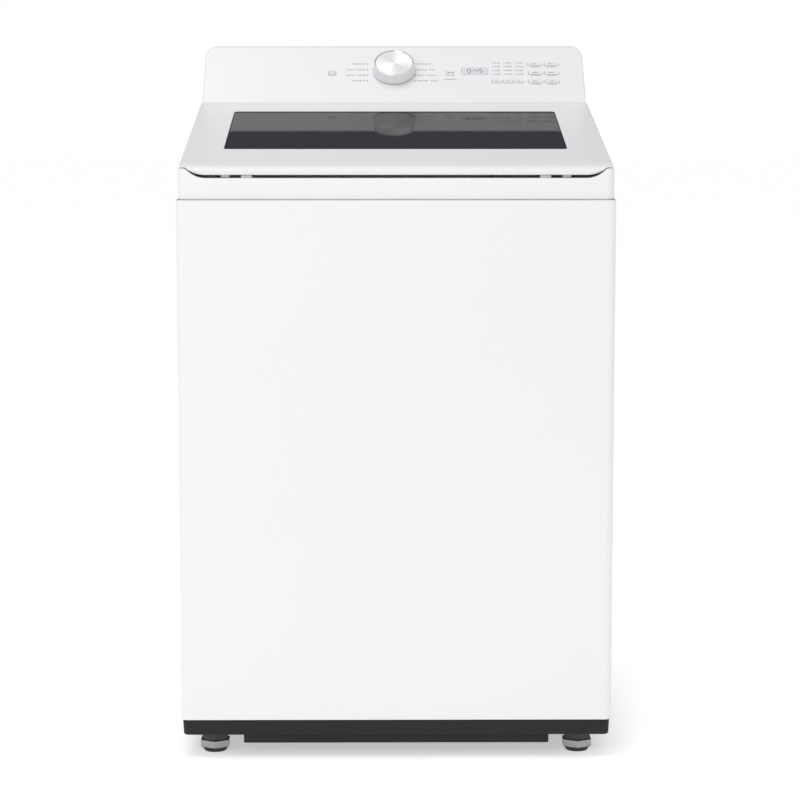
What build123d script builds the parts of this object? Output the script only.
"""Top load washing machine, as separate pieces in one frame.

Millimetres. The origin is on the floor at the centre of the footprint, +Z is up,
the front faces -Y and +X is on the right of someone standing at the front.
"""
import os
from math import atan2, cos, degrees, hypot, radians, sin, tan

from build123d import *

os.makedirs("parts", exist_ok=True)

# ---------------------------------------------------------------- driving sizes
width = 686.0
depth = 721.0
height = 1130.0

# walls
sheet = 1.2          # painted steel
moulding = 3.0       # white plastic mouldings
basket_sheet = 0.8   # stainless basket

# clearances
moving_gap = 0.6     # between pieces that pass each other
pin_gap = 0.05       # radial, pin or shaft in its hole
key_gap = 0.35       # round the edge of a key
seat_gap = 0.05      # a pane or window in its recess

# vertical stack
foot_height = 36.5   # floor to the underside of the base
base_band = 25.5     # height of the dark base
top_works = 242.0    # cabinet's top edge to the console's top

# cabinet
rear_overhang = 21.0     # console behind the rear panel
corner_radius = 12.0
rear_flange = 22.0
cover_inset = 3.0        # top cover inside the cabinet's front and sides

# lid
lid_slope = 9.38
lid_lip_thick = 14.0
lid_brow = 22.0          # front plane to where the nose turns down
lid_brow_fall = 7.2      # from the flat's front edge to there
lid_nose_run = 62.0      # front plane to where the flat of the lid starts
lid_nose_rise = 59.9     # cabinet's top edge to the flat of the lid there
lid_edge = 10.0          # height of the lid's side edge
lid_lip_depth = 10.0     # front plane to the lip
lid_lip_rise = 38.6      # cabinet's top edge to the middle of the lip
lip_gap = 4.7            # finger gap under the lip
lip_flat = 297.0         # half width of the straight part of the lip
lip_end = 329.0          # half width where the lip has run out
lid_depth = 26.0         # lid's top surface to the liner's underside
seam_gap = 1.2           # lid's side edge to the cover
deck_gap = 4.0           # liner's underside to the cover's deck
liner_half = 300.0
liner_start = 8.0        # along the lid from its nose line
liner_height = 16.0

# lid lock
strike_x = 150.0
strike_thick = 3.0
strike_run = 12.0
strike_drop = 26.0
strike_window = 9.0
strike_foot = 4.0
strike_room = 1.0
strike_at = 78.0         # front plane to the strike
bolt_size = 6.0
bolt_length = 24.0
bolt_throw = 9.0
lock_width = 80.0
lock_run = 22.0
lock_height = 34.0
swing_room = 9.0         # the strike swings forward as it lifts

# cover
mouth_width = 500.0      # clothes opening
mouth_front = 95.0       # front plane to the opening
mouth_run = 400.0
mouth_corner = 70.0
mouth_drop = 40.0        # cabinet's top edge to the opening's skirt

# lid glass
glass_width = 552.0
glass_start = 152.0      # front plane to the glass, along the level
glass_run = 330.0
glass_thick = 4.0
glass_radius = 7.0

# hinge
hinge_reach = 23.0       # ahead of the console's foot, along the level
hinge_drop = 19.0        # below the lid's flat
hinge_sweep = 26.0       # radius of the lid's rear edge about the pin
hinge_pin = 4.0
hinge_x = 285.0
hinge_leaf = 8.0
hinge_eye = 8.0

# console
console_run = 151.0      # front foot of the console to the rear
console_crown = 31.0     # face's top edge to the rear
console_inset = 5.5      # inside the cabinet's sides
console_corner = 20.0
parting_drop = 8.0       # console's foot to the joint with the top cover

# control panel, positions on the face: along X, and up the face from its foot
dial_up = 85.0
dial_radius = 36.0
dial_height = 19.5
dial_lift = 1.0
dial_shaft = 3.0
display_x = 144.0
display_up = 86.0
display_width = 46.0
display_height = 18.0
key_travel = 0.8
key_corner = 2.0
key_proud = 0.3
power_x = -110.0
start_x = 100.0
main_key_up = 80.0
main_key = 13.0
column_x = (182.0, 202.5, 222.0)
column_key_up = 57.0
column_key_width = 16.0
option_x = (251.5, 281.0)
option_up = (57.0, 81.0, 105.0)
option_key_width = 25.0
flat_key_height = 9.0

# tub, basket and drive
side_clearance = 38.0    # tub wall to cabinet wall
tub_wall = 3.5
tub_lift = 88.0          # cabinet's lower edge to the tub's floor
tub_headroom = 90.0      # tub's rim to the cabinet's top edge
basket_gap = 18.0        # basket to tub, all round
basket_floor = 70.0      # tub's underside to the basket's floor
basket_freeboard = 6.0   # basket's rim below the tub's rim
mouth_radius = 246.0
spin_tube = 17.5
drive_radius = 10.0
bearing_radius = 31.0
bearing_height = 16.0
rotor_radius = 150.0

# suspension
rod_inset = 58.0         # rods inside the cabinet's corners
rod_radius = 4.0
spring_radius = 14.0
spring_length = 60.0
lug_height = 150.0       # tub's underside to the lug
lug_thick = 16.0

# feet
foot_inset_x = 51.5
foot_inset_y = 55.0
foot_flats = 45.0
foot_hex = 11.0
foot_boot = 8.0
foot_boot_radius = 17.0
foot_stem = 5.0
nut_height = 10.0
nut_flats = 40.0
shield_inset = 99.5      # under-base shield inside the sides
shield_front = 12.0
shield_drop = 14.5

# ---------------------------------------------------------------- shared places
cabinet_z = foot_height + base_band
cabinet_top = height - top_works
cabinet_front = -depth / 2
cabinet_rear = depth / 2 - rear_overhang
cabinet_depth = cabinet_rear - cabinet_front
cabinet_mid = (cabinet_front + cabinet_rear) / 2
half_width = width / 2
cover_half = half_width - cover_inset
cover_front = cabinet_front + cover_inset
lid_half = cover_half - 1.2
console_half = half_width - console_inset
console_rear = depth / 2
slope = tan(radians(lid_slope))

# the lid's flat: a plane through its front edge, rising to the rear
nose_y = cabinet_front + lid_nose_run
nose_z = cabinet_top + lid_nose_rise
lid_plane = Plane(
    origin=(0, nose_y, nose_z),
    x_dir=(1, 0, 0),
    z_dir=(0, -sin(radians(lid_slope)), cos(radians(lid_slope))),
)
lid_side = Plane(
    origin=(0, nose_y, nose_z),
    x_dir=(0, cos(radians(lid_slope)), sin(radians(lid_slope))),
    z_dir=(1, 0, 0),
)
along_lid = 1 / cos(radians(lid_slope))


def lid_z(y):
    """Height of the lid's flat at y."""
    return nose_z + (y - nose_y) * slope


console_y = console_rear - console_run
console_z = lid_z(console_y)
hinge_y = console_y - hinge_reach
hinge_z = lid_z(hinge_y) - hinge_drop
hinge = lid_side.to_local_coords(Vector(0, hinge_y, hinge_z))
trough_radius = hinge_sweep + moving_gap
trough_z = hinge_z - trough_radius - moulding
parting_z = console_z - parting_drop
deck = lid_depth + deck_gap
strike_y = cabinet_front + strike_at
lip_z = cabinet_top + lid_lip_rise
lip_y = cabinet_front + lid_lip_depth
edge_z = nose_z - lid_edge
cover_lip_z = lip_z - lip_gap
cover_edge_z = edge_z - seam_gap

# the console's face: a plane through its front foot
face_top_y = console_rear - console_crown
face_angle = degrees(atan2(height - console_z, face_top_y - console_y))
face_plane = Plane(
    origin=(0, console_y, console_z),
    x_dir=(1, 0, 0),
    z_dir=(0, -sin(radians(face_angle)), cos(radians(face_angle))),
)

tub_radius = min(width, cabinet_depth) / 2 - sheet - side_clearance
tub_z = cabinet_z + tub_lift
tub_top = cabinet_top - tub_headroom
basket_radius = tub_radius - tub_wall - basket_gap
basket_z = tub_z + basket_floor
basket_top = tub_top - basket_freeboard
rod_x = half_width - rod_inset
rod_dy = cabinet_depth / 2 - rod_inset
rod_places = [(sx * rod_x, cabinet_mid + sy * rod_dy) for sx in (-1, 1) for sy in (-1, 1)]
lug_z = tub_z + lug_height
foot_x = half_width - foot_inset_x
foot_front_y = cabinet_front + foot_inset_y
foot_rear_y = cabinet_rear - foot_inset_y
nut_z = foot_boot + foot_hex + moving_gap
boss_z = nut_z + nut_height

# rear connections, on the rear panel
outlet_x = half_width - 130.0
outlet_radius = 15.0
gland_x = -half_width + 120.0
gland_radius = 8.0
inlet_xs = (-100.0, -40.0)
inlet_radius = 13.2
port_step = 1.0          # a port's neck through the panel is this much smaller
service_z = cabinet_top - 45.0

# ---------------------------------------------------------------- cabinet wrap
# One painted sheet bent round the front and both sides, with returned rear flanges.
with BuildPart() as cabinet_wrap:
    with BuildSketch(Plane.XY.offset(cabinet_z)):
        with Locations((0, cabinet_mid)):
            Rectangle(width, cabinet_depth)
        fillet(vertices().group_by(Axis.Y)[0], corner_radius)
        offset(amount=-sheet, kind=Kind.INTERSECTION, mode=Mode.SUBTRACT)
        with Locations((0, cabinet_rear)):
            Rectangle(width - 2 * rear_flange, 4 * sheet, mode=Mode.SUBTRACT)
    extrude(amount=cabinet_top - cabinet_z)
cabinet_wrap.part.label = "cabinet_wrap"
export_step(cabinet_wrap.part, "parts/cabinet_wrap.step")

# ---------------------------------------------------------------- rear panel
# A separate sheet laid on the inside of the rear flanges, ribbed and vented.
panel_half = half_width - sheet - moving_gap
panel_y = cabinet_rear - sheet
vent_z = cabinet_z + 110.0
vent_pitch = 14.0
vent_rows = 6
vent_length = 200.0
vent_height = 6.0
with BuildPart() as rear_panel:
    with BuildSketch(Plane.XZ.offset(-panel_y)):
        with Locations((0, (cabinet_z + cabinet_top) / 2)):
            Rectangle(2 * panel_half, cabinet_top - cabinet_z)
        with Locations((0, vent_z)):
            with GridLocations(0, vent_pitch, 1, vent_rows):
                SlotOverall(vent_length, vent_height, mode=Mode.SUBTRACT)
        with Locations((outlet_x, service_z)):
            Circle(outlet_radius - port_step, mode=Mode.SUBTRACT)
        with Locations((gland_x, service_z)):
            Circle(gland_radius, mode=Mode.SUBTRACT)
        with Locations(*[(x, service_z) for x in inlet_xs]):
            Circle(inlet_radius - port_step, mode=Mode.SUBTRACT)
    extrude(amount=sheet)
rear_panel.part.label = "rear_panel"
export_step(rear_panel.part, "parts/rear_panel.step")

# ---------------------------------------------------------------- base frame
# A dark moulded ring under the cabinet, drafted inwards, with a boss for each foot.
base_inset = 2.5
base_draft = 3.0
base_skin = 4.0
base_hollow = base_inset + 2 * base_skin
base_ledge = 90.0
boss_radius = 17.0
foot_places = [(sx * foot_x, y) for sx in (-1, 1) for y in (foot_front_y, foot_rear_y)]
with BuildPart() as base_frame:
    with BuildSketch(Plane.XY.offset(cabinet_z)):
        with Locations((0, cabinet_mid)):
            RectangleRounded(width - 2 * base_inset, cabinet_depth - 2 * base_inset, corner_radius)
    extrude(amount=-base_band, taper=base_draft)
    with BuildSketch(Plane.XY.offset(foot_height)):
        with Locations((0, cabinet_mid)):
            Rectangle(width - 2 * base_hollow, cabinet_depth - 2 * base_hollow)
    extrude(amount=base_band - base_skin, mode=Mode.SUBTRACT)
    with BuildSketch(Plane.XY.offset(foot_height)):
        with Locations((0, cabinet_mid)):
            Rectangle(width - 2 * base_ledge, cabinet_depth - 2 * base_ledge)
    extrude(amount=base_band, mode=Mode.SUBTRACT)
    with BuildSketch(Plane.XY.offset(boss_z)):
        with Locations(*foot_places):
            Circle(boss_radius)
    extrude(amount=cabinet_z - boss_z)
    with BuildSketch(Plane.XY.offset(boss_z)):
        with Locations(*foot_places):
            Circle(foot_stem + pin_gap)
    extrude(amount=cabinet_z - boss_z, mode=Mode.SUBTRACT)
base_frame.part.label = "base_frame"
export_step(base_frame.part, "parts/base_frame.step")

# ---------------------------------------------------------------- base shield
# A shallow tray screwed under the base; its front edge is the lowest dark strip.
shield_half = half_width - shield_inset
shield_rear = cabinet_rear - shield_front
shield_sheet = 2.0
slot_pitch = 60.0
slot_count = 5
slot_length = 240.0
slot_width = 10.0
with BuildPart() as base_shield:
    with BuildSketch(Plane.XY.offset(foot_height - shield_drop)):
        with Locations((0, cabinet_mid)):
            RectangleRounded(2 * shield_half, shield_rear - cabinet_front - shield_front, 2 * shield_sheet)
    extrude(amount=shield_drop)
    offset(amount=-shield_sheet, openings=faces().sort_by(Axis.Z)[-1])
    with BuildSketch(Plane.XY.offset(foot_height - shield_drop)):
        with Locations((0, cabinet_mid)):
            with GridLocations(slot_pitch, 0, slot_count, 1):
                SlotOverall(slot_length, slot_width, rotation=90)
    extrude(amount=shield_sheet, mode=Mode.SUBTRACT)
base_shield.part.label = "base_shield"
export_step(base_shield.part, "parts/base_shield.step")

# ---------------------------------------------------------------- levelling feet
# A hexagonal foot on a threaded stem, with a rubber boot moulded round its base.
stem_top = cabinet_z + 4.0
foot_names = ("front_left", "rear_left", "front_right", "rear_right")
for foot_name, (x, y) in zip(foot_names, foot_places):
    with BuildPart() as levelling_foot:
        with BuildSketch(Plane.XY):
            with Locations((x, y)):
                Circle(foot_boot_radius)
        with BuildSketch(Plane.XY.offset(foot_boot)):
            with Locations((x, y)):
                Circle(foot_flats / 2)
        loft()
        with BuildSketch(Plane.XY.offset(foot_boot)):
            with Locations((x, y)):
                RegularPolygon(foot_flats / 2, 6, major_radius=False, rotation=30)
        extrude(amount=foot_hex)
        with BuildSketch(Plane.XY.offset(foot_boot + foot_hex)):
            with Locations((x, y)):
                Circle(foot_stem)
        extrude(amount=stem_top - foot_boot - foot_hex)
    levelling_foot.part.label = f"foot_{foot_name}"
    export_step(levelling_foot.part, f"parts/foot_{foot_name}.step")

# Lock nuts clamp each stem to the base; four alike.
with BuildPart() as lock_nuts:
    with BuildSketch(Plane.XY.offset(nut_z)):
        with Locations(*foot_places):
            RegularPolygon(nut_flats / 2, 6, major_radius=False, rotation=30)
            Circle(foot_stem + pin_gap, mode=Mode.SUBTRACT)
    extrude(amount=nut_height)
lock_nuts.part.label = "lock_nuts"
export_step(lock_nuts.part, "parts/lock_nuts.step")

# ---------------------------------------------------------------- corner brackets
# Pressed gussets across the cabinet's top corners; each carries a suspension rod.
bracket_drop = 20.0
bracket_reach = rod_inset + 30.0
with BuildPart() as corner_brackets:
    with BuildSketch(Plane.XY.offset(cabinet_top - bracket_drop)):
        for sx in (-1, 1):
            for sy in (-1, 1):
                corner_x = sx * (half_width - sheet)
                corner_y = cabinet_mid + sy * (cabinet_depth / 2 - 2 * sheet)
                with BuildLine():
                    Polyline(
                        (corner_x, corner_y - sy * bracket_reach),
                        (corner_x, corner_y - sy * corner_radius),
                        (corner_x - sx * corner_radius, corner_y),
                        (corner_x - sx * bracket_reach, corner_y),
                        (corner_x - sx * bracket_reach, corner_y - sy * 2 * corner_radius),
                        (corner_x - sx * 2 * corner_radius, corner_y - sy * bracket_reach),
                        close=True,
                    )
                make_face()
        with Locations(*rod_places):
            Circle(rod_radius, mode=Mode.SUBTRACT)
    extrude(amount=2 * sheet)
corner_brackets.part.label = "corner_brackets"
export_step(corner_brackets.part, "parts/corner_brackets.step")

# ---------------------------------------------------------------- top cover
# One moulding: front rail, side rails, a sunk deck with the clothes opening and its
# skirt, a trough that the lid's rear edge turns in, and the seat of the console.
far = 2 * height
mouth_y = cabinet_front + mouth_front + mouth_run / 2
mouth_rear = cabinet_front + mouth_front + mouth_run
skirt_z = cabinet_top - mouth_drop
rail_run = (console_y - nose_y) * along_lid
dispenser_x = -95.0
dispenser_width = 150.0
dispenser_height = 66.0
dispenser_run = 140.0
dispenser_top = trough_z
dispenser_z = dispenser_top - dispenser_height


def lip_outline(z_middle, z_end, z_far):
    """Face between the lip's upswept curve and the level z_far, over the whole width."""
    Polyline((-half_width, z_end), (-half_width, z_far), (half_width, z_far), (half_width, z_end))
    Line((-lip_flat, z_middle), (lip_flat, z_middle))
    for side in (-1, 1):
        Spline(
            (side * lip_flat, z_middle),
            (side * lip_end, z_end),
            tangents=((side, 0), (side, 0.8)),
        )
        Line((side * lip_end, z_end), (side * half_width, z_end))


# The room inside the moulding, its front corners rounded with the outside ones.
with BuildPart() as cover_hollow:
    with BuildSketch(Plane.YZ):
        with BuildLine():
            deck_start = lid_side.from_local_coords(Vector(0, -deck - moulding))
            deck_end = lid_side.from_local_coords(Vector(hinge.X - 1.5 * hinge_sweep, -deck - moulding))
            Polyline(
                (cover_front + moulding, cabinet_top),
                (cover_front + moulding, deck_start.Z),
                (deck_start.Y, deck_start.Z),
                (deck_end.Y, deck_end.Z),
                (deck_end.Y, trough_z),
                (console_y + hinge_sweep, trough_z),
                (console_y + hinge_sweep, parting_z - moulding),
                (console_rear - moulding, parting_z - moulding),
                (console_rear - moulding, cabinet_top),
                close=True,
            )
        make_face()
    extrude(amount=cover_half - moulding, both=True)
    fillet(edges().filter_by(Axis.Z).group_by(Axis.Y)[0], corner_radius - moulding)

with BuildPart() as top_cover:
    with BuildSketch(Plane.YZ):
        with BuildLine():
            rail_end = lid_side.from_local_coords(Vector(rail_run, -lid_edge - seam_gap))
            Polyline(
                (cover_front, cabinet_top),
                (cover_front, cover_edge_z),
                (nose_y, cover_edge_z),
                (rail_end.Y, rail_end.Z),
                (console_y, parting_z),
                (console_rear, parting_z),
                (console_rear, cabinet_top),
                close=True,
            )
        make_face()
    extrude(amount=cover_half, both=True)
    fillet(edges().filter_by(Axis.Z).group_by(Axis.Y)[0], corner_radius)
    add(cover_hollow.part, mode=Mode.SUBTRACT)
    with BuildSketch(Plane.XY.offset(skirt_z)):
        with Locations((0, mouth_y)):
            RectangleRounded(mouth_width + 2 * moulding, mouth_run + 2 * moulding, mouth_corner + moulding)
    extrude(amount=lid_z(mouth_rear) - skirt_z)
    with BuildSketch(Plane.XY.offset(skirt_z)):
        with Locations((0, mouth_y)):
            RectangleRounded(mouth_width, mouth_run, mouth_corner)
    extrude(amount=far, mode=Mode.SUBTRACT)
    with BuildSketch(lid_side):
        with BuildLine():
            Polyline(
                (liner_start / 2, -deck),
                (rail_run, -deck),
                (rail_run, far),
                (liner_start / 2, far),
                close=True,
            )
        make_face()
    extrude(amount=liner_half + 2 * deck_gap, both=True, mode=Mode.SUBTRACT)
    with BuildSketch(Plane.YZ):
        with Locations((hinge_y, hinge_z)):
            Circle(trough_radius)
    extrude(amount=half_width, both=True, mode=Mode.SUBTRACT)
    with BuildSketch(Plane.XZ.offset(-cabinet_front)):
        with BuildLine():
            lip_outline(cover_lip_z, cover_edge_z, cabinet_top + 4 * lid_nose_rise)
        make_face()
    extrude(amount=-(lid_nose_run + liner_start / 2), mode=Mode.SUBTRACT)
    with BuildSketch(Plane.XZ.offset(-mouth_rear)):
        with Locations((dispenser_x, dispenser_z + dispenser_height / 2)):
            Rectangle(dispenser_width, dispenser_height)
    extrude(amount=2 * moulding, both=True, mode=Mode.SUBTRACT)
    with Locations((strike_x, strike_y - swing_room / 2 + moving_gap, cabinet_top)):
        Box(
            strike_thick + 2 * strike_room,
            strike_run + swing_room,
            4 * lid_nose_rise,
            mode=Mode.SUBTRACT,
        )
top_cover.part.label = "top_cover"
export_step(top_cover.part, "parts/top_cover.step")

# Rubber stops on the front rail, under the lid's lip.
cover_stop_x = 233.0
lid_stop_x = 266.0
stop_width = 18.0
lid_stop_width = 14.4
stop_run = 9.0
stop_height = lip_gap - moving_gap
with BuildPart() as cover_stops:
    with BuildSketch(Plane.XY.offset(cover_lip_z)):
        with Locations((-cover_stop_x, lip_y + stop_run), (cover_stop_x, lip_y + stop_run)):
            RectangleRounded(stop_width, stop_run, stop_run / 3)
    extrude(amount=stop_height)
cover_stops.part.label = "cover_stops"
export_step(cover_stops.part, "parts/cover_stops.step")

# ---------------------------------------------------------------- lid frame
# A full-width moulding: a flat slab with a window, and a nose that ends in the lip.
lid_run = hinge.X + (hinge_sweep**2 - hinge.Y**2) ** 0.5
edge_run = hinge.X + (hinge_sweep**2 - (hinge.Y + lid_edge) ** 2) ** 0.5
glass_length = glass_run * along_lid
glass_mid = (glass_start - lid_nose_run + glass_run / 2) * along_lid
glass_ledge = 9.0
glass_sink = 0.4
frame_skin = 3.0
cavity_start = 12.0
cavity_end = hinge.X - hinge_sweep
cavity_half = liner_half - 2 * moulding
with BuildPart() as lid_frame:
    with BuildSketch(lid_side):
        with BuildLine():
            Line((0, -lid_edge), (0, 0))
            Line((0, 0), (lid_run, 0))
            RadiusArc((lid_run, 0), (edge_run, -lid_edge), hinge_sweep)
            Line((edge_run, -lid_edge), (0, -lid_edge))
        make_face()
    extrude(amount=lid_half, both=True)
    with BuildSketch(Plane.YZ):
        with BuildLine():
            brow = (cabinet_front + lid_brow, nose_z - lid_brow_fall)
            brow_arc = ThreePointArc(
                (nose_y, nose_z),
                ((nose_y + brow[0]) / 2, (nose_z + brow[1]) / 2 + 1.0),
                brow,
            )
            nose_arc = TangentArc(brow, (lip_y, edge_z - lid_edge / 3), tangent=brow_arc % 1)
            Polyline(
                nose_arc @ 1,
                (lip_y, lip_z),
                (lip_y + lid_lip_thick, lip_z),
                (lip_y + lid_lip_thick, edge_z),
                (nose_y + lid_edge * slope, edge_z),
                (nose_y, nose_z),
            )
        make_face()
    extrude(amount=lid_half, both=True)
    with BuildSketch(Plane.XZ.offset(-cabinet_front)):
        with BuildLine():
            lip_outline(lip_z, edge_z, cabinet_top)
        make_face()
    extrude(amount=-(lid_lip_depth + lid_lip_thick + seam_gap), mode=Mode.SUBTRACT)
    with BuildSketch(lid_plane.offset(-lid_edge)):
        with Locations((0, (cavity_start + cavity_end) / 2)):
            Rectangle(2 * cavity_half, cavity_end - cavity_start)
        with Locations((0, glass_mid)):
            Rectangle(glass_width + 2 * glass_ledge, glass_length + 2 * glass_ledge, mode=Mode.SUBTRACT)
    extrude(amount=lid_edge - frame_skin, mode=Mode.SUBTRACT)
    with BuildSketch(lid_plane.offset(-lid_edge)):
        with Locations((0, glass_mid)):
            Rectangle(glass_width - 2 * glass_ledge, glass_length - 2 * glass_ledge)
    extrude(amount=2 * lid_edge, mode=Mode.SUBTRACT)
    with BuildSketch(lid_plane.offset(-glass_thick - glass_sink)):
        with Locations((0, glass_mid)):
            RectangleRounded(glass_width, glass_length, glass_radius)
    extrude(amount=2 * lid_edge, mode=Mode.SUBTRACT)
lid_frame.part.label = "lid_frame"
export_step(lid_frame.part, "parts/lid_frame.step")

# Dark tinted pane, sunk in the frame's rebate.
with BuildPart() as lid_glass:
    with BuildSketch(lid_plane.offset(-glass_thick - glass_sink)):
        with Locations((0, glass_mid)):
            RectangleRounded(glass_width - 2 * seat_gap, glass_length - 2 * seat_gap, glass_radius)
    extrude(amount=glass_thick)
lid_glass.part.label = "lid_glass"
export_step(lid_glass.part, "parts/lid_glass.step")

# ---------------------------------------------------------------- lid liner
# The lid's inner moulding: a channel round the window, with the two hinge eyes.
liner_end = hinge.X - hinge_sweep
with BuildPart() as lid_liner:
    with BuildSketch(lid_plane.offset(-lid_depth)):
        with Locations((0, (liner_start + liner_end) / 2)):
            RectangleRounded(2 * liner_half, liner_end - liner_start, 3 * moulding)
        with Locations((0, glass_mid)):
            RectangleRounded(
                glass_width - 2 * glass_ledge,
                glass_length - 2 * glass_ledge,
                glass_radius,
                mode=Mode.SUBTRACT,
            )
    extrude(amount=liner_height)
    with BuildSketch(lid_plane.offset(-lid_edge)):
        with Locations((0, (liner_start + liner_end) / 2)):
            Rectangle(2 * (liner_half - moulding), liner_end - liner_start - 2 * moulding)
        with Locations((0, glass_mid)):
            Rectangle(
                glass_width - 2 * glass_ledge + 2 * moulding,
                glass_length - 2 * glass_ledge + 2 * moulding,
                mode=Mode.SUBTRACT,
            )
    extrude(amount=moulding - liner_height, mode=Mode.SUBTRACT)
    for side in (-1, 1):
        eye_plane = Plane(
            origin=(side * (hinge_x - side * hinge_leaf / 2), nose_y, nose_z),
            x_dir=lid_side.x_dir,
            z_dir=(1, 0, 0),
        )
        with BuildSketch(eye_plane):
            with Locations((hinge.X, hinge.Y)):
                Circle(hinge_eye)
            with BuildLine():
                Polyline(
                    (liner_end - moulding, -lid_edge),
                    (hinge.X + hinge_eye, -lid_edge),
                    (hinge.X + hinge_eye, hinge.Y),
                    (hinge.X - hinge_eye, hinge.Y),
                    (liner_end - moulding, -lid_depth + moulding),
                    close=True,
                )
            make_face()
            with Locations((hinge.X, hinge.Y)):
                Circle(hinge_pin + pin_gap, mode=Mode.SUBTRACT)
        extrude(amount=hinge_leaf)
lid_liner.part.label = "lid_liner"
export_step(lid_liner.part, "parts/lid_liner.step")

# Rubber stops under the lip.
with BuildPart() as lid_stops:
    with BuildSketch(Plane.XY.offset(lip_z)):
        with Locations((-lid_stop_x, lip_y + lid_lip_thick / 2), (lid_stop_x, lip_y + lid_lip_thick / 2)):
            RectangleRounded(lid_stop_width, stop_run, stop_run / 3)
    extrude(amount=-stop_height)
lid_stops.part.label = "lid_stops"
export_step(lid_stops.part, "parts/lid_stops.step")

# ---------------------------------------------------------------- hinge brackets
# Each holds the pin of one eye, from a foot on the deck ahead of the trough.
bracket_ear = 4.0
ear_radius = 7.0
ear_gap = 0.5
bracket_foot_run = 30.0
with BuildPart() as hinge_brackets:
    for side in (-1, 1):
        ear_x = side * (hinge_x + hinge_leaf / 2 + ear_gap)
        far_x = side * (hinge_x + hinge_leaf / 2 + ear_gap + bracket_ear)
        ear_plane = Plane(
            origin=(min(ear_x, far_x), nose_y, nose_z), x_dir=lid_side.x_dir, z_dir=(1, 0, 0)
        )
        foot_at = liner_end
        with BuildSketch(ear_plane):
            with Locations((hinge.X, hinge.Y)):
                Circle(ear_radius)
            with BuildLine():
                Polyline(
                    (hinge.X, hinge.Y - ear_radius),
                    (foot_at, -deck),
                    (foot_at - bracket_foot_run, -deck),
                    (foot_at - bracket_foot_run, -lid_depth - 2 * moving_gap),
                    (foot_at, -lid_depth - 2 * moving_gap),
                    (hinge.X, hinge.Y + ear_radius),
                    close=True,
                )
            make_face()
        extrude(amount=bracket_ear)
        pin_plane = Plane(
            origin=(min(ear_x, far_x - side * (bracket_ear + hinge_leaf + 2 * ear_gap)), nose_y, nose_z),
            x_dir=lid_side.x_dir,
            z_dir=(1, 0, 0),
        )
        with BuildSketch(pin_plane):
            with Locations((hinge.X, hinge.Y)):
                Circle(hinge_pin)
        extrude(amount=hinge_leaf + 2 * ear_gap + 1)
hinge_brackets.part.label = "hinge_brackets"
export_step(hinge_brackets.part, "parts/hinge_brackets.step")

# ---------------------------------------------------------------- lid lock
# A housing under the deck; the strike on the lid's liner enters it through a slot,
# and the bolt slides sideways through the strike's window.
strike_top = lid_z(strike_y) - lid_depth + moulding
strike_z = strike_top - moulding - strike_drop
bolt_z = strike_z + strike_foot + strike_window / 2
lock_top = deck_start.Z
lock_x = strike_x + lock_width / 4
with BuildPart() as lid_strike:
    with BuildSketch(Plane.YZ.offset(strike_x - strike_thick / 2)):
        with Locations((strike_y, (strike_z + strike_top) / 2)):
            Rectangle(strike_run, strike_top - strike_z)
        with Locations((strike_y, bolt_z)):
            Rectangle(strike_window, strike_window, mode=Mode.SUBTRACT)
    extrude(amount=strike_thick)
    split(bisect_by=lid_plane.offset(-lid_depth), keep=Keep.BOTTOM)
lid_strike.part.label = "lid_strike"
export_step(lid_strike.part, "parts/lid_strike.step")

with BuildPart() as lid_lock:
    with Locations((lock_x, strike_y, lock_top - lock_height / 2)):
        Box(lock_width, lock_run, lock_height)
    with Locations((strike_x, strike_y - swing_room / 2 + moving_gap, lock_top)):
        Box(
            strike_thick + 2 * strike_room,
            strike_run + swing_room,
            2 * (lock_height - strike_foot),
            mode=Mode.SUBTRACT,
        )
    bolt_end = strike_x + strike_thick + bolt_length
    tunnel_start = strike_x - bolt_throw - 2 * strike_room
    with Locations(((tunnel_start + bolt_end) / 2, strike_y, bolt_z)):
        Box(
            bolt_end - tunnel_start + 2 * strike_room,
            bolt_size + 2 * key_gap,
            bolt_size + 2 * key_gap,
            mode=Mode.SUBTRACT,
        )
lid_lock.part.label = "lid_lock"
export_step(lid_lock.part, "parts/lid_lock.step")

with BuildPart() as lid_lock_bolt:
    with Locations((strike_x + strike_thick + bolt_length / 2, strike_y, bolt_z)):
        Box(bolt_length, bolt_size, bolt_size)
    chamfer(edges().filter_by(Axis.Y).group_by(Axis.X)[0], 1)
lid_lock_bolt.part.label = "lid_lock_bolt"
export_step(lid_lock_bolt.part, "parts/lid_lock_bolt.step")

# ---------------------------------------------------------------- console
# The fascia is one moulding: sloped face, rounded crown and cheeks, open at the back.
crown_radius = 14.0
back_radius = 16.0
back_frame = 19.0
back_lap = 4.0


def console_body(inset):
    """The console's outer form, drawn this far inside its skin."""
    with BuildPart() as body:
        with BuildSketch(Plane.YZ):
            with BuildLine():
                Polyline(
                    (console_y, parting_z),
                    (console_y, console_z),
                    (face_top_y, height),
                    (console_rear, height),
                    (console_rear, parting_z),
                    close=True,
                )
            make_face()
            if inset:
                offset(amount=-inset, kind=Kind.INTERSECTION)
            fillet(vertices().group_by(Axis.Y)[-1].sort_by(Axis.X)[-1], back_radius - inset)
            fillet(vertices().group_by(Axis.Y)[-1].sort_by(Axis.X)[0], crown_radius - inset)
        extrude(amount=console_half - inset, both=True)
        with BuildSketch(Plane.XZ.offset(-console_y)):
            with Locations((0, (parting_z + height) / 2)):
                Rectangle(2 * (console_half - inset), height - parting_z - 2 * inset)
            fillet(vertices().group_by(Axis.Y)[-1], console_corner - inset)
        extrude(amount=-console_run, mode=Mode.INTERSECT)
    return body.part


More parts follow.
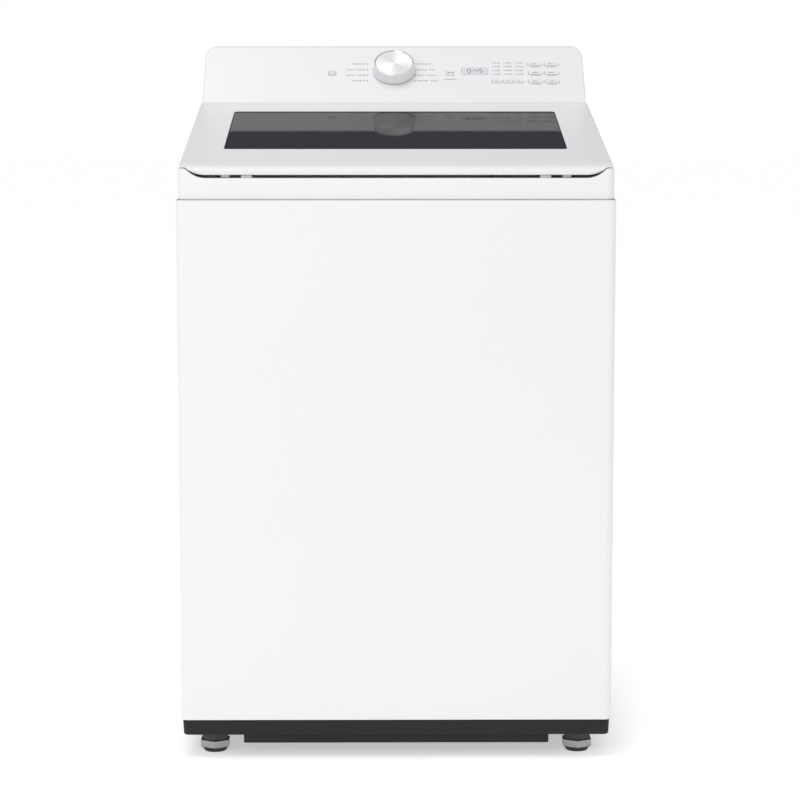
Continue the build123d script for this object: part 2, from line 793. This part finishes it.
key_places = [(power_x, main_key_up, main_key, main_key), (start_x, main_key_up, main_key, main_key)]
key_places += [(x, column_key_up, column_key_width, flat_key_height) for x in column_x]
key_places += [(x, up, option_key_width, flat_key_height) for x in option_x for up in option_up]
key_names = ["power_key", "start_key"]
key_names += [f"cycle_key_{n}" for n in (1, 2, 3)]
key_names += [f"option_key_{n}" for n in range(1, 7)]
display_thick = 1.5
display_corner = 1.5
display_ledge = 2.0
dial_hole = 12.0
with BuildPart() as console_fascia:
    add(console_body(0))
    add(console_body(moulding), mode=Mode.SUBTRACT)
    with Locations((0, console_rear, (parting_z + height) / 2)):
        Box(
            2 * (console_half - back_frame),
            4 * moulding,
            height - parting_z - 2 * (back_frame + moulding),
            mode=Mode.SUBTRACT,
        )
    with Locations((0, (console_y + console_rear) / 2 + moulding, parting_z)):
        Box(
            2 * (console_half - 2 * moulding),
            console_run - 6 * moulding,
            4 * moulding,
            mode=Mode.SUBTRACT,
        )
    with BuildSketch(face_plane.offset(-2 * moulding)):
        with Locations((0, dial_up)):
            Circle(dial_hole)
        for x, up, key_width, key_height in key_places:
            with Locations((x, up)):
                RectangleRounded(key_width, key_height, key_corner)
        with Locations((display_x, display_up)):
            Rectangle(display_width - 2 * display_ledge, display_height - 2 * display_ledge)
    extrude(amount=4 * moulding, mode=Mode.SUBTRACT)
    with BuildSketch(face_plane.offset(-display_thick)):
        with Locations((display_x, display_up)):
            RectangleRounded(display_width, display_height, display_corner)
    extrude(amount=4 * moulding, mode=Mode.SUBTRACT)
    with BuildSketch(Plane.YZ):
        with Locations((hinge_y, hinge_z)):
            Circle(trough_radius)
    extrude(amount=half_width, both=True, mode=Mode.SUBTRACT)
console_fascia.part.label = "console_fascia"
export_step(console_fascia.part, "parts/console_fascia.step")

# A flat sheet closes the console's back from the inside.
with BuildPart() as console_back:
    with Locations((0, console_rear - moulding - sheet / 2, (parting_z + height) / 2)):
        Box(
            2 * (console_half - back_frame + back_lap),
            sheet,
            height - parting_z - 2 * (back_frame + moulding - back_lap),
        )
console_back.part.label = "console_back"
export_step(console_back.part, "parts/console_back.step")

# Clear window over the digits.
with BuildPart() as display_window:
    with BuildSketch(face_plane.offset(-display_thick)):
        with Locations((display_x, display_up)):
            RectangleRounded(
                display_width - 2 * seat_gap, display_height - 2 * seat_gap, display_corner
            )
    extrude(amount=display_thick)
display_window.part.label = "display_window"
export_step(display_window.part, "parts/display_window.step")

# ---------------------------------------------------------------- control board
# One board behind the face, with a switch under each key and the digits' module.
flange_depth = 1.4
flange_gap = 0.3
flange_reach = 1.2
key_bottom = moulding + flange_gap + flange_depth
switch_gap = 0.2
switch_height = 3.0
board_thick = 1.6
board_depth = key_bottom + key_travel + switch_gap + switch_height
board_left = power_x - 30.0
board_right = option_x[-1] + 22.0
board_height = 80.0
switch_size = 6.0
module_inset = 3.0
encoder_radius = 11.0
encoder_height = 6.0
with BuildPart() as control_board:
    with BuildSketch(face_plane.offset(-board_depth - board_thick)):
        with Locations(((board_left + board_right) / 2, main_key_up)):
            Rectangle(board_right - board_left, board_height)
    extrude(amount=board_thick)
    with BuildSketch(face_plane.offset(-board_depth)):
        for x, up, key_width, key_height in key_places:
            with Locations((x, up)):
                Rectangle(switch_size, switch_size)
    extrude(amount=switch_height)
    with BuildSketch(face_plane.offset(-board_depth)):
        with Locations((display_x, display_up)):
            Rectangle(display_width - 2 * module_inset, display_height - 2 * module_inset)
    extrude(amount=board_depth - moulding)
control_board.part.label = "control_board"
export_step(control_board.part, "parts/control_board.step")

with BuildPart() as dial_encoder:
    with BuildSketch(face_plane.offset(-board_depth)):
        with Locations((0, dial_up)):
            Circle(encoder_radius)
            Circle(dial_shaft + pin_gap, mode=Mode.SUBTRACT)
    extrude(amount=encoder_height)
dial_encoder.part.label = "dial_encoder"
export_step(dial_encoder.part, "parts/dial_encoder.step")

# ---------------------------------------------------------------- dial
# A white cup on a shaft, faced with a spun metal disc inside a bright ring.
dial_skin = 2.5
dial_disc_radius = 32.6
dial_ring_radius = 35.0
dial_disc_thick = 1.0
dial_disc_sink = 1.2
dial_draft = 2.0
dial_boss = 7.0
dial_chamfer = 0.8
with BuildPart() as dial_body:
    with BuildSketch(face_plane.offset(dial_lift)):
        with Locations((0, dial_up)):
            Circle(dial_radius + dial_draft)
    with BuildSketch(face_plane.offset(dial_height)):
        with Locations((0, dial_up)):
            Circle(dial_radius)
    loft()
    with BuildSketch(face_plane.offset(dial_lift)):
        with Locations((0, dial_up)):
            Circle(dial_radius - dial_skin)
            Circle(dial_boss, mode=Mode.SUBTRACT)
    extrude(amount=dial_height - dial_lift - 3 * dial_skin, mode=Mode.SUBTRACT)
    with BuildSketch(face_plane.offset(dial_height - dial_disc_sink - dial_disc_thick)):
        with Locations((0, dial_up)):
            Circle(dial_ring_radius)
    extrude(amount=dial_height, mode=Mode.SUBTRACT)
    with BuildSketch(face_plane.offset(-board_depth + 1)):
        with Locations((0, dial_up)):
            Circle(dial_shaft)
    extrude(amount=board_depth + dial_lift)
dial_body.part.label = "dial_body"
export_step(dial_body.part, "parts/dial_body.step")

with BuildPart() as dial_disc:
    with BuildSketch(face_plane.offset(dial_height - dial_disc_sink - dial_disc_thick)):
        with Locations((0, dial_up)):
            Circle(dial_disc_radius)
    extrude(amount=dial_disc_thick)
dial_disc.part.label = "dial_disc"
export_step(dial_disc.part, "parts/dial_disc.step")

with BuildPart() as dial_ring:
    with BuildSketch(face_plane.offset(dial_height - dial_disc_sink - dial_disc_thick)):
        with Locations((0, dial_up)):
            Circle(dial_ring_radius)
            Circle(dial_disc_radius, mode=Mode.SUBTRACT)
    extrude(amount=dial_disc_sink + dial_disc_thick)
    ring_top = faces().sort_by(lambda f: face_plane.to_local_coords(f).center().Z)[-1]
    chamfer(ring_top.edges(), dial_chamfer)
dial_ring.part.label = "dial_ring"
export_step(dial_ring.part, "parts/dial_ring.step")

# ---------------------------------------------------------------- keys
# Each key is a cap in its hole, kept in by a flange behind the face.
for key_name, (x, up, key_width, key_height) in zip(key_names, key_places):
    with BuildPart() as key:
        with BuildSketch(face_plane.offset(-key_bottom)):
            with Locations((x, up)):
                Rectangle(key_width + 2 * flange_reach, key_height + 2 * flange_reach)
        extrude(amount=flange_depth)
        with BuildSketch(face_plane.offset(-key_bottom)):
            with Locations((x, up)):
                RectangleRounded(key_width - 2 * key_gap, key_height - 2 * key_gap, key_corner - key_gap)
        extrude(amount=key_bottom + key_proud)
    key.part.label = key_name
    export_step(key.part, f"parts/{key_name}.step")

# ---------------------------------------------------------------- dispenser
# A box hung behind the clothes opening; its drawer slides forward into the opening.
dispenser_wall = 2.5
drawer_gap = 0.5
drawer_wall = 2.0
drawer_run = 128.0
drawer_height = 54.0
drawer_front_y = mouth_rear + moving_gap
with BuildPart() as dispenser_housing:
    with BuildSketch(Plane.XZ.offset(-mouth_rear - moulding)):
        with Locations((dispenser_x, dispenser_z + dispenser_height / 2)):
            Rectangle(dispenser_width, dispenser_height)
    extrude(amount=-dispenser_run)
    with BuildSketch(Plane.XZ.offset(-mouth_rear - moulding)):
        with Locations((dispenser_x, dispenser_z + dispenser_height / 2)):
            Rectangle(dispenser_width - 2 * dispenser_wall, dispenser_height - 2 * dispenser_wall)
    extrude(amount=dispenser_wall - dispenser_run, mode=Mode.SUBTRACT)
dispenser_housing.part.label = "dispenser_housing"
export_step(dispenser_housing.part, "parts/dispenser_housing.step")

drawer_half = dispenser_width / 2 - dispenser_wall - drawer_gap
drawer_z = dispenser_z + dispenser_wall + drawer_gap
with BuildPart() as dispenser_drawer:
    with BuildSketch(Plane.XY.offset(drawer_z)):
        with Locations((dispenser_x, drawer_front_y + drawer_run / 2)):
            RectangleRounded(2 * drawer_half, drawer_run, 2 * drawer_wall)
    extrude(amount=drawer_height)
    pocket_run = (drawer_run - 3 * drawer_wall) / 2
    with BuildSketch(Plane.XY.offset(drawer_z + drawer_wall)):
        with Locations((dispenser_x, drawer_front_y + drawer_run / 2)):
            with GridLocations(drawer_half - drawer_wall / 2, pocket_run + drawer_wall, 2, 2):
                Rectangle(drawer_half - 1.5 * drawer_wall, pocket_run)
    extrude(amount=drawer_height, mode=Mode.SUBTRACT)
dispenser_drawer.part.label = "dispenser_drawer"
export_step(dispenser_drawer.part, "parts/dispenser_drawer.step")

# ---------------------------------------------------------------- water inlet
# Two threaded valve bodies through the rear panel, each with a hose to the dispenser.
inlet_reach = 18.0
valve_body = 34.0
valve_run = 40.0
inlet_bore = 9.0
hose_radius = 8.0
hose_wall = 2.0
hose_bend = 30.0
hose_rise_y = panel_y - sheet - valve_run / 2
hose_end_y = mouth_rear + moulding + dispenser_run
with BuildPart() as inlet_valves:
    with Locations(*[(x, panel_y - sheet - valve_run / 2, service_z) for x in inlet_xs]):
        Box(valve_body, valve_run, valve_body)
    with BuildSketch(Plane.XZ.offset(-(panel_y - sheet))):
        with Locations(*[(x, service_z) for x in inlet_xs]):
            Circle(inlet_radius - port_step - seat_gap)
    extrude(amount=-sheet)
    with BuildSketch(Plane.XZ.offset(-panel_y)):
        with Locations(*[(x, service_z) for x in inlet_xs]):
            Circle(inlet_radius)
    extrude(amount=-inlet_reach)
    with BuildSketch(Plane.XZ.offset(-(panel_y + inlet_reach))):
        with Locations(*[(x, service_z) for x in inlet_xs]):
            Circle(inlet_bore)
    extrude(amount=inlet_reach, mode=Mode.SUBTRACT)
inlet_valves.part.label = "inlet_valves"
export_step(inlet_valves.part, "parts/inlet_valves.step")

hose_top_z = dispenser_z + dispenser_height / 2
with BuildPart() as fill_hoses:
    for x in inlet_xs:
        with BuildLine() as hose_path:
            FilletPolyline(
                (x, hose_rise_y, service_z + valve_body / 2),
                (x, hose_rise_y, hose_top_z),
                (x, hose_end_y, hose_top_z),
                radius=hose_bend - 2 * hose_radius,
            )
        with BuildSketch(Plane.XY.offset(service_z + valve_body / 2)):
            with Locations((x, hose_rise_y)):
                Circle(hose_radius)
                Circle(hose_radius - hose_wall, mode=Mode.SUBTRACT)
        sweep(path=hose_path.line)
fill_hoses.part.label = "fill_hoses"
export_step(fill_hoses.part, "parts/fill_hoses.step")

# ---------------------------------------------------------------- rear fittings
outlet_bore = 11.0
outlet_flange = 22.0
with BuildPart() as drain_outlet:
    with BuildSketch(Plane.XZ.offset(-(panel_y - sheet))):
        with Locations((outlet_x, service_z)):
            Circle(outlet_flange)
    extrude(amount=2 * sheet)
    with BuildSketch(Plane.XZ.offset(-(panel_y - sheet))):
        with Locations((outlet_x, service_z)):
            Circle(outlet_radius - port_step - seat_gap)
    extrude(amount=-sheet)
    with BuildSketch(Plane.XZ.offset(-panel_y)):
        with Locations((outlet_x, service_z)):
            Circle(outlet_radius)
    extrude(amount=-inlet_reach)
    with BuildSketch(Plane.XZ.offset(-(panel_y + inlet_reach))):
        with Locations((outlet_x, service_z)):
            Circle(outlet_bore)
    extrude(amount=2 * inlet_reach, mode=Mode.SUBTRACT)
drain_outlet.part.label = "drain_outlet"
export_step(drain_outlet.part, "parts/drain_outlet.step")

gland_bore = 4.0
gland_flange = 13.0
with BuildPart() as cord_gland:
    with BuildSketch(Plane.XZ.offset(-(panel_y - sheet))):
        with Locations((gland_x, service_z)):
            Circle(gland_radius - seat_gap)
    extrude(amount=-2 * sheet)
    with BuildSketch(Plane.XZ.offset(-panel_y)):
        with Locations((gland_x, service_z)):
            Circle(gland_flange)
    extrude(amount=-3 * sheet)
    with BuildSketch(Plane.XZ.offset(-panel_y - 4 * sheet)):
        with Locations((gland_x, service_z)):
            Circle(gland_bore)
    extrude(amount=10 * sheet, mode=Mode.SUBTRACT)
cord_gland.part.label = "cord_gland"
export_step(cord_gland.part, "parts/cord_gland.step")

screw_head = 4.5
screw_head_height = 2.4
screw_margin = 11.0
screw_rows = 4
screw_pitch = (cabinet_top - cabinet_z - 4 * screw_margin) / (screw_rows - 1)
with BuildPart() as rear_screws:
    with BuildSketch(Plane.XZ.offset(-cabinet_rear)):
        with Locations((0, (cabinet_z + cabinet_top) / 2)):
            with GridLocations(2 * (half_width - screw_margin), screw_pitch, 2, screw_rows):
                Circle(screw_head)
    extrude(amount=-screw_head_height)
rear_screws.part.label = "rear_screws"
export_step(rear_screws.part, "parts/rear_screws.step")

# ---------------------------------------------------------------- suspension
# Steel rods hang from the corner brackets; springs on them carry the tub's lugs.
rod_foot = 12.0
spring_foot_z = lug_z - spring_length
rod_top_z = cabinet_top - bracket_drop + 2 * sheet
with BuildPart() as suspension_rods:
    with BuildSketch(Plane.XY.offset(spring_foot_z)):
        with Locations(*rod_places):
            Circle(rod_radius)
    extrude(amount=rod_top_z - spring_foot_z)
    with BuildSketch(Plane.XY.offset(spring_foot_z - rod_foot)):
        with Locations(*rod_places):
            Circle(spring_radius)
    extrude(amount=rod_foot)
    with BuildSketch(Plane.XY.offset(rod_top_z)):
        with Locations(*rod_places):
            Circle(2 * rod_radius)
    extrude(amount=2 * rod_radius)
suspension_rods.part.label = "suspension_rods"
export_step(suspension_rods.part, "parts/suspension_rods.step")

spring_wire = 3.0
with BuildPart() as suspension_springs:
    with BuildSketch(Plane.XY.offset(spring_foot_z)):
        with Locations(*rod_places):
            Circle(spring_radius)
            Circle(spring_radius - spring_wire, mode=Mode.SUBTRACT)
    extrude(amount=spring_length)
suspension_springs.part.label = "suspension_springs"
export_step(suspension_springs.part, "parts/suspension_springs.step")

# ---------------------------------------------------------------- outer tub
# A deep moulded tub with four lugs, a bearing housing and a sump for the pump.
hub_radius = bearing_radius + 6.0
hub_drop = 26.0
hub_rise = 44.0
shaft_room = 1.5
tub_corner = 18.0
pump_radius = 42.0
pump_height = 52.0
pump_x = 205.0
pump_hole = 20.0
with BuildPart() as outer_tub:
    with BuildSketch(Plane.XY.offset(tub_z)):
        with Locations((0, cabinet_mid)):
            Circle(tub_radius)
    extrude(amount=tub_top - tub_z)
    fillet(edges().group_by(Axis.Z)[0], tub_corner)
    offset(amount=-tub_wall, openings=faces().sort_by(Axis.Z)[-1])
    with BuildSketch(Plane.XY.offset(lug_z)):
        for x, y in rod_places:
            reach = hypot(x, y - cabinet_mid)
            turn = degrees(atan2(y - cabinet_mid, x))
            with Locations(Location((0, cabinet_mid, 0), (0, 0, turn))):
                with Locations(((tub_radius + reach) / 2, 0)):
                    Rectangle(reach - tub_radius + tub_wall, 2.4 * spring_radius)
            with Locations((x, y)):
                Circle(1.2 * spring_radius)
        with Locations(*rod_places):
            Circle(2 * rod_radius, mode=Mode.SUBTRACT)
    extrude(amount=lug_thick)
    with BuildSketch(Plane.XY.offset(tub_z - hub_drop)):
        with Locations((0, cabinet_mid)):
            Circle(hub_radius)
    extrude(amount=hub_drop + hub_rise)
    with BuildSketch(Plane.XY.offset(tub_z - hub_drop)):
        with Locations((0, cabinet_mid)):
            Circle(spin_tube + shaft_room)
    extrude(amount=hub_drop + hub_rise, mode=Mode.SUBTRACT)
    for bearing_z in (tub_z - hub_drop, tub_z + hub_rise - bearing_height):
        with BuildSketch(Plane.XY.offset(bearing_z)):
            with Locations((0, cabinet_mid)):
                Circle(bearing_radius)
        extrude(amount=bearing_height, mode=Mode.SUBTRACT)
    with BuildSketch(Plane.XY.offset(tub_z)):
        with Locations((pump_x, cabinet_mid)):
            Circle(pump_hole)
    extrude(amount=tub_wall, mode=Mode.SUBTRACT)
outer_tub.part.label = "outer_tub"
export_step(outer_tub.part, "parts/outer_tub.step")

rim_height = 8.0
with BuildPart() as tub_cover:
    with BuildSketch(Plane.XY.offset(tub_top)):
        with Locations((0, cabinet_mid)):
            Circle(tub_radius + tub_wall)
            Circle(mouth_radius + 2 * rim_height, mode=Mode.SUBTRACT)
    extrude(amount=tub_wall)
    with BuildSketch(Plane.XY.offset(tub_top)):
        with Locations((0, cabinet_mid)):
            Circle(mouth_radius + 2 * rim_height + tub_wall)
            Circle(mouth_radius + 2 * rim_height, mode=Mode.SUBTRACT)
    extrude(amount=rim_height)
tub_cover.part.label = "tub_cover"
export_step(tub_cover.part, "parts/tub_cover.step")

with BuildPart() as tub_bearings:
    for bearing_z in (tub_z - hub_drop, tub_z + hub_rise - bearing_height):
        with BuildSketch(Plane.XY.offset(bearing_z)):
            with Locations((0, cabinet_mid)):
                Circle(bearing_radius)
                Circle(spin_tube + pin_gap, mode=Mode.SUBTRACT)
        extrude(amount=bearing_height)
tub_bearings.part.label = "tub_bearings"
export_step(tub_bearings.part, "parts/tub_bearings.step")

with BuildPart() as drain_pump:
    with BuildSketch(Plane.XY.offset(tub_z - pump_height)):
        with Locations((pump_x, cabinet_mid)):
            Circle(pump_radius)
    extrude(amount=pump_height)
    with BuildSketch(Plane.XY.offset(tub_z - pump_height + tub_wall)):
        with Locations((pump_x, cabinet_mid)):
            Circle(pump_hole)
    extrude(amount=pump_height, mode=Mode.SUBTRACT)
    with BuildSketch(Plane.XZ.offset(-cabinet_mid)):
        with Locations((pump_x, tub_z - pump_height / 2)):
            Circle(outlet_radius)
    extrude(amount=-2 * pump_radius)
    with BuildSketch(Plane.XZ.offset(-cabinet_mid)):
        with Locations((pump_x, tub_z - pump_height / 2)):
            Circle(outlet_bore)
    extrude(amount=-2 * pump_radius, mode=Mode.SUBTRACT)
drain_pump.part.label = "drain_pump"
export_step(drain_pump.part, "parts/drain_pump.step")

# ---------------------------------------------------------------- direct drive motor
# A slotted stator on the tub's hub and a shallow rotor cup round it, on the drive shaft.
motor_gap = 1.5
magnet = 5.0
rotor_wall = 3.0
stator_radius = rotor_radius - rotor_wall - magnet - motor_gap
stator_z = tub_z - hub_drop
stator_teeth = 36
tooth_gap = 7.0
tooth_depth = 30.0
tooth_inset = 22.0
rotor_vents = 10
vent_slot = (50.0, 12.0)
rotor_z = stator_z - 12.0
with BuildPart() as stator:
    with BuildSketch(Plane.XY.offset(stator_z)):
        with Locations((0, cabinet_mid)):
            Circle(stator_radius)
            Circle(hub_radius, mode=Mode.SUBTRACT)
            with PolarLocations(stator_radius - tooth_inset, stator_teeth):
                Rectangle(tooth_depth, tooth_gap, mode=Mode.SUBTRACT)
    extrude(amount=hub_drop - tub_wall)
stator.part.label = "stator"
export_step(stator.part, "parts/stator.step")

with BuildPart() as rotor:
    with BuildSketch(Plane.XY.offset(rotor_z)):
        with Locations((0, cabinet_mid)):
            Circle(rotor_radius)
    extrude(amount=hub_drop)
    with BuildSketch(Plane.XY.offset(rotor_z + rotor_wall)):
        with Locations((0, cabinet_mid)):
            Circle(stator_radius + motor_gap)
    extrude(amount=hub_drop, mode=Mode.SUBTRACT)
    with BuildSketch(Plane.XY.offset(rotor_z)):
        with Locations((0, cabinet_mid)):
            Circle(drive_radius)
            with PolarLocations(rotor_radius * 0.6, rotor_vents):
                SlotOverall(*vent_slot)
    extrude(amount=rotor_wall, mode=Mode.SUBTRACT)
rotor.part.label = "rotor"
export_step(rotor.part, "parts/rotor.step")

plate_z = basket_z + 10.0
plate_radius = basket_radius - 34.0
plate_thick = 8.0
plate_dome = 46.0
plate_hub = 40.0
shaft_nut = 6.0
with BuildPart() as drive_shaft:
    with BuildSketch(Plane.XY.offset(rotor_z)):
        with Locations((0, cabinet_mid)):
            Circle(drive_radius)
    extrude(amount=plate_z + plate_dome / 2 - rotor_z)
    with BuildSketch(Plane.XY.offset(rotor_z - shaft_nut)):
        with Locations((0, cabinet_mid)):
            RegularPolygon(1.6 * drive_radius, 6)
    extrude(amount=shaft_nut)
drive_shaft.part.label = "drive_shaft"
export_step(drive_shaft.part, "parts/drive_shaft.step")

# ---------------------------------------------------------------- basket
basket_corner = 26.0
hub_disc_radius = basket_radius - 60.0
hub_disc = 6.0
basket_neck = 60.0
hub_windows = 6
hub_window = 34.0
with BuildPart() as basket_shell:
    with BuildSketch(Plane.XY.offset(basket_z)):
        with Locations((0, cabinet_mid)):
            Circle(basket_radius)
    extrude(amount=basket_top - basket_z)
    fillet(edges().group_by(Axis.Z)[0], basket_corner)
    offset(amount=-basket_sheet, openings=faces().sort_by(Axis.Z)[-1])
    with BuildSketch(Plane.XY.offset(basket_z)):
        with Locations((0, cabinet_mid)):
            Circle(basket_neck)
    extrude(amount=basket_corner, mode=Mode.SUBTRACT)
basket_shell.part.label = "basket_shell"
export_step(basket_shell.part, "parts/basket_shell.step")

tube_bottom_z = tub_z - hub_drop + 0.5
with BuildPart() as basket_hub:
    with BuildSketch(Plane.XY.offset(basket_z - hub_disc)):
        with Locations((0, cabinet_mid)):
            Circle(hub_disc_radius)
            with PolarLocations(hub_disc_radius * 0.66, hub_windows):
                Circle(hub_window, mode=Mode.SUBTRACT)
    extrude(amount=hub_disc)
    with BuildSketch(Plane.XY.offset(tube_bottom_z)):
        with Locations((0, cabinet_mid)):
            Circle(spin_tube)
    extrude(amount=basket_z - tube_bottom_z)
    with BuildSketch(Plane.XY.offset(tube_bottom_z)):
        with Locations((0, cabinet_mid)):
            Circle(drive_radius + pin_gap)
    extrude(amount=basket_z - tube_bottom_z, mode=Mode.SUBTRACT)
basket_hub.part.label = "basket_hub"
export_step(basket_hub.part, "parts/basket_hub.step")

ring_height = 52.0
ring_round = 10.0
with BuildPart() as balance_ring:
    with BuildSketch(Plane.XY.offset(basket_top - ring_height)):
        with Locations((0, cabinet_mid)):
            Circle(basket_radius - basket_sheet)
            Circle(mouth_radius, mode=Mode.SUBTRACT)
    extrude(amount=ring_height)
    fillet(edges().filter_by(GeomType.CIRCLE).sort_by(SortBy.RADIUS)[:2], ring_round)
balance_ring.part.label = "balance_ring"
export_step(balance_ring.part, "parts/balance_ring.step")

filter_arc = 22.0
filter_depth = 12.0
filter_height = 170.0
filter_z = basket_z + 190.0
with BuildPart() as lint_filters:
    for turn in (0, 180):
        filter_plane = Plane(
            origin=(0, cabinet_mid, 0),
            x_dir=Vector(1, 0, 0).rotate(Axis.Z, turn - filter_arc / 2),
            z_dir=Vector(0, -1, 0).rotate(Axis.Z, turn - filter_arc / 2),
        )
        with BuildSketch(filter_plane):
            with Locations((basket_radius - basket_sheet - filter_depth / 2, filter_z + filter_height / 2)):
                Rectangle(filter_depth, filter_height)
        revolve(axis=Axis((0, cabinet_mid, 0), (0, 0, 1)), revolution_arc=filter_arc)
lint_filters.part.label = "lint_filters"
export_step(lint_filters.part, "parts/lint_filters.step")

# ---------------------------------------------------------------- wash plate
# A shallow domed disc with six raised vanes, on the drive shaft.
vane_count = 6
vane_width = 26.0
vane_height = 18.0
vane_draft = 8.0
with BuildPart() as wash_plate:
    with BuildSketch(Plane.YZ):
        with BuildLine():
            Line((cabinet_mid, plate_z), (cabinet_mid, plate_z + plate_dome))
            Line((cabinet_mid, plate_z + plate_dome), (cabinet_mid + plate_hub, plate_z + plate_dome))
            Spline(
                (cabinet_mid + plate_hub, plate_z + plate_dome),
                (cabinet_mid + plate_radius, plate_z + plate_thick),
                tangents=((1, -0.6), (1, -0.05)),
            )
            Line((cabinet_mid + plate_radius, plate_z + plate_thick), (cabinet_mid + plate_radius, plate_z))
            Line((cabinet_mid + plate_radius, plate_z), (cabinet_mid, plate_z))
        make_face()
    revolve(axis=Axis((0, cabinet_mid, 0), (0, 0, 1)))
    with BuildSketch(Plane.XY.offset(plate_z)):
        with Locations((0, cabinet_mid)):
            with PolarLocations((plate_hub + plate_radius) / 2, vane_count):
                SlotOverall(plate_radius - plate_hub - vane_width / 2, vane_width)
    extrude(amount=plate_thick + vane_height, taper=vane_draft)
    with BuildSketch(Plane.XY.offset(plate_z)):
        with Locations((0, cabinet_mid)):
            Circle(drive_radius)
    extrude(amount=plate_dome / 2, mode=Mode.SUBTRACT)
wash_plate.part.label = "wash_plate"
export_step(wash_plate.part, "parts/wash_plate.step")
